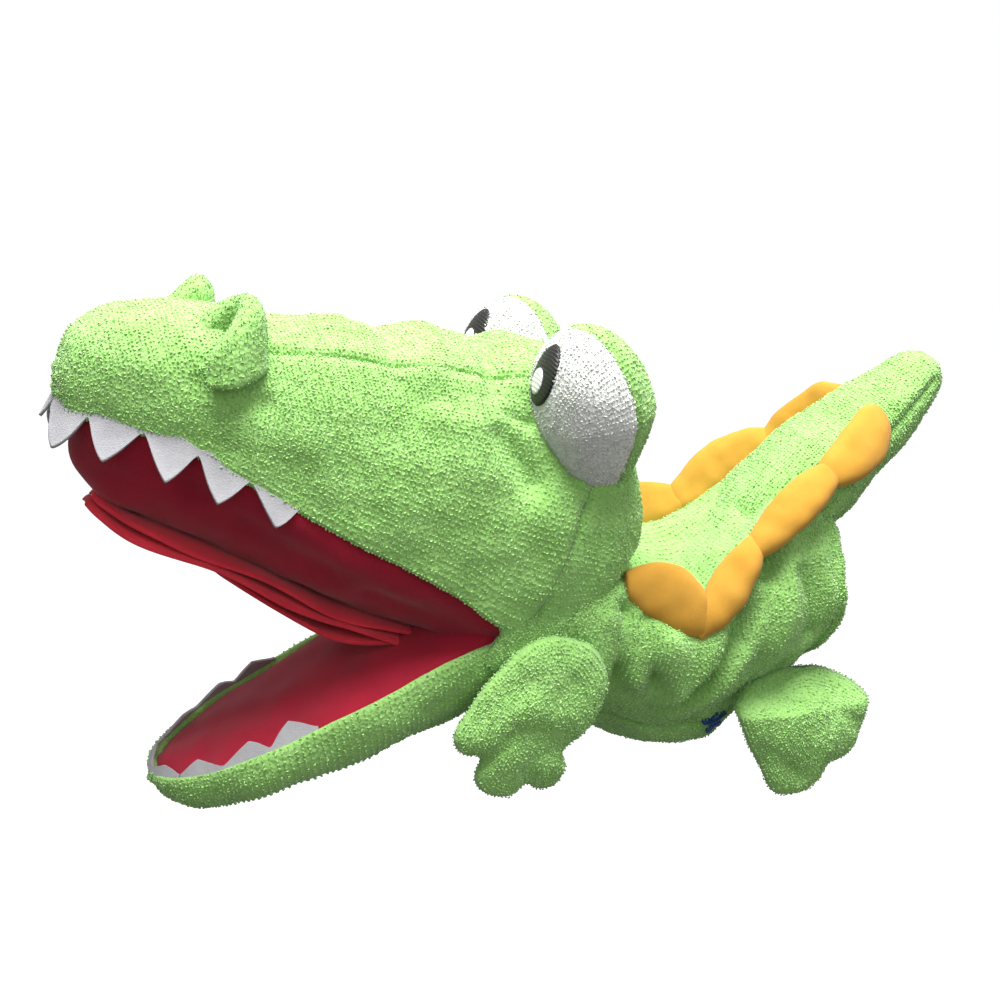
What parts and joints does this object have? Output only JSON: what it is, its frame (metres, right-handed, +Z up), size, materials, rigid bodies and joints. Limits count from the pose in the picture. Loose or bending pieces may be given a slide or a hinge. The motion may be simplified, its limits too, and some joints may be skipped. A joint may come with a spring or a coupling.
{
  "type": "crocodile hand puppet",
  "caption": "Soft crocodile hand puppet with a moving mouth worked by the wearer's fingers and thumb.",
  "frame": {"origin": "centre of the hand opening, in the plane of the cuff edge", "axes": "+X from the snout out through the hand opening, +Z up with the jaws one above the other, -Y the puppet's own left side"},
  "size_m": [0.4186, 0.136, 0.2484],
  "materials": {
    "terry_green": "looped terry cloth",
    "crest_velour": "short pile velour",
    "white_terry": "fine terry cloth",
    "white_felt": "pressed felt",
    "black_thread": "satin stitch",
    "white_thread": "satin stitch",
    "mouth_lining": "smooth brushed jersey",
    "tongue_cloth": "felted cloth",
    "stiff_board": "plain stiffener board",
    "stuffing": "loose polyester fibre",
    "blue_thread": "satin stitch"
  },
  "bodies": {
    "sleeve": {"throat_panel": "terry_green", "back_panel": "terry_green", "side_panel_left": "terry_green", "side_panel_right": "terry_green", "belly_panel": "terry_green", "cuff_hem": "terry_green", "belly_stitching": "blue_thread", "rump": "terry_green", "crest_left_neck": "crest_velour", "crest_left_mid": "crest_velour", "crest_left_rump": "crest_velour", "crest_right_neck": "crest_velour", "crest_right_mid": "crest_velour", "crest_right_rump": "crest_velour"},
    "upper_jaw": {"snout_cover": "terry_green", "top_gusset": "terry_green", "cheek_left": "terry_green", "cheek_right": "terry_green", "head_back": "terry_green", "head_stuffing": "stuffing", "upper_board": "stiff_board", "palate_lining": "mouth_lining", "upper_teeth_left": "white_felt", "upper_teeth_right": "white_felt", "upper_tooth_front": "white_felt", "nostril_cup_left": "terry_green", "nostril_cup_right": "terry_green", "nostril_inner_left": "terry_green", "nostril_inner_right": "terry_green", "eye_white_left": "white_terry", "eye_white_right": "white_terry", "eye_back_left": "terry_green", "eye_back_right": "terry_green", "eye_pupil_left": "black_thread", "eye_pupil_right": "black_thread", "eye_glint_left": "white_thread", "eye_glint_right": "white_thread"},
    "lower_jaw": {"jaw_cover": "terry_green", "jaw_stuffing": "stuffing", "lower_board": "stiff_board", "lower_lining": "mouth_lining", "lower_teeth_left": "white_felt", "lower_teeth_right": "white_felt", "lower_tooth_front": "white_felt"},
    "tongue": {"tongue_top": "tongue_cloth", "tongue_under": "tongue_cloth", "tongue_flap": "mouth_lining"},
    "tail": {"tail_top": "terry_green", "tail_under": "terry_green", "crest_left_tail": "crest_velour", "crest_right_tail": "crest_velour"},
    "leg_front_left": {"front_leg_left": "terry_green"},
    "leg_front_right": {"front_leg_right": "terry_green"},
    "leg_hind_left": {"hind_leg_left": "terry_green"},
    "leg_hind_right": {"hind_leg_right": "terry_green"}
  },
  "joints": [
    {"name": "upper_jaw_hinge", "type": "hinge", "parent": "sleeve", "child": "upper_jaw", "pos_m": [-0.174, 0, -0.006], "axis": [0, 1, 0], "range_deg": [-12, 5]},
    {"name": "lower_jaw_hinge", "type": "hinge", "parent": "sleeve", "child": "lower_jaw", "pos_m": [-0.174, 0, -0.006], "axis": [0, 1, 0], "range_deg": [-8, 10]},
    {"name": "tongue_root", "type": "hinge", "parent": "upper_jaw", "child": "tongue", "pos_m": [-0.184, 0, -0.004], "axis": [0, 1, 0], "range_deg": [-2, 1]},
    {"name": "tail_root", "type": "hinge", "parent": "sleeve", "child": "tail", "pos_m": [0.008, 0, 0.058], "axis": [0, 1, 0], "range_deg": [-12, 12]},
    {"name": "front_leg_left_swing", "type": "hinge", "parent": "sleeve", "child": "leg_front_left", "pos_m": [-0.164, -0.057, -0.008], "axis": [0, 1, 0], "range_deg": [-15, 15]},
    {"name": "front_leg_right_swing", "type": "hinge", "parent": "sleeve", "child": "leg_front_right", "pos_m": [-0.164, 0.057, -0.008], "axis": [0, 1, 0], "range_deg": [-15, 15]},
    {"name": "hind_leg_left_swing", "type": "hinge", "parent": "sleeve", "child": "leg_hind_left", "pos_m": [-0.025, -0.056, -0.042], "axis": [0, 1, 0], "range_deg": [-15, 15]},
    {"name": "hind_leg_right_swing", "type": "hinge", "parent": "sleeve", "child": "leg_hind_right", "pos_m": [-0.025, 0.056, -0.042], "axis": [0, 1, 0], "range_deg": [-15, 15]}
  ]
}
